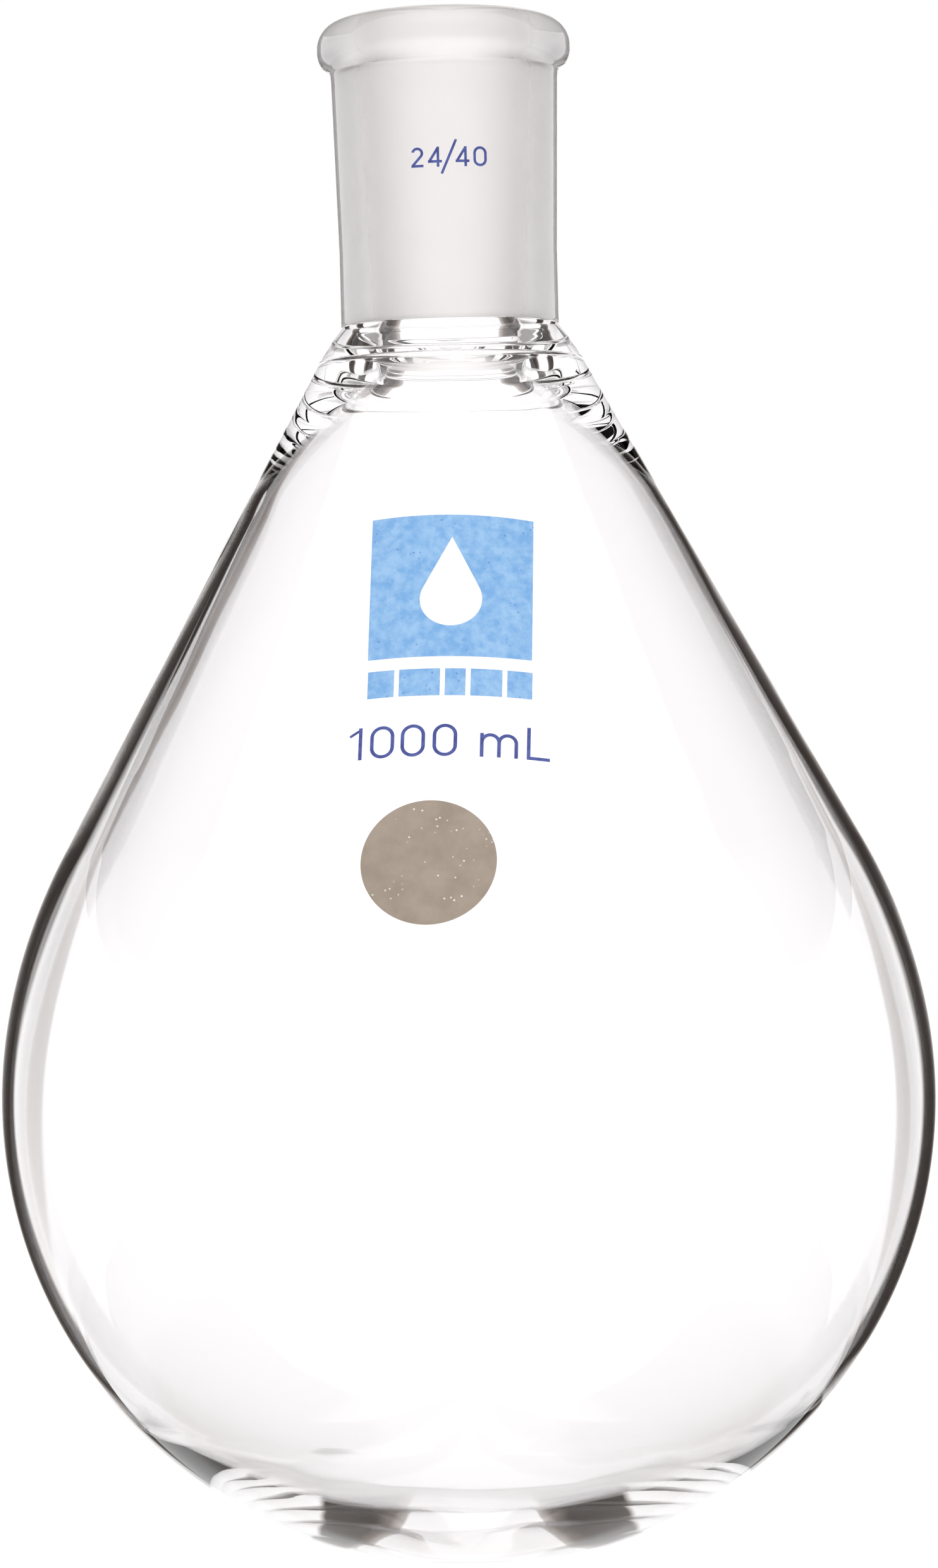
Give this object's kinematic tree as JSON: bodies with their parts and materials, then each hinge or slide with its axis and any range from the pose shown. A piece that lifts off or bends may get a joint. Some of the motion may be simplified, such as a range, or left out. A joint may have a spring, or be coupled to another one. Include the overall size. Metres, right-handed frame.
{
  "type": "evaporating flask",
  "caption": "Pear-shaped round-bottom glass evaporating flask: blown bulb with a thicker floor, fused to a ground taper joint socket with a rolled bead.",
  "frame": {"origin": "centre of the mouth, on the joint's gauge plane, which is the flask's top", "axes": "+Z along the flask's axis, up and out of the mouth; -Y towards the printed side"},
  "size_m": [0.1242, 0.1242, 0.2059],
  "materials": {
    "clear_glass": "fire-polished clear borosilicate glass, 1.3 to 5 mm thick",
    "joint_glass": "borosilicate glass, fire-polished outside, finely ground and frosted in the tapered bore",
    "pale_blue_enamel": "fired-on light blue enamel, slightly mottled, with pinholes",
    "dark_blue_enamel": "fired-on dark blue enamel",
    "writing_enamel": "fired-on matt grey-beige enamel that takes pencil"
  },
  "bodies": {
    "root": {"joint_socket": "joint_glass", "fused_seal": "clear_glass", "pear_bulb": "clear_glass", "emblem_panel": "pale_blue_enamel", "plain_strip": "pale_blue_enamel", "capacity_print": "dark_blue_enamel", "joint_size_print": "dark_blue_enamel", "marking_spot": "writing_enamel"}
  },
  "joints": []
}
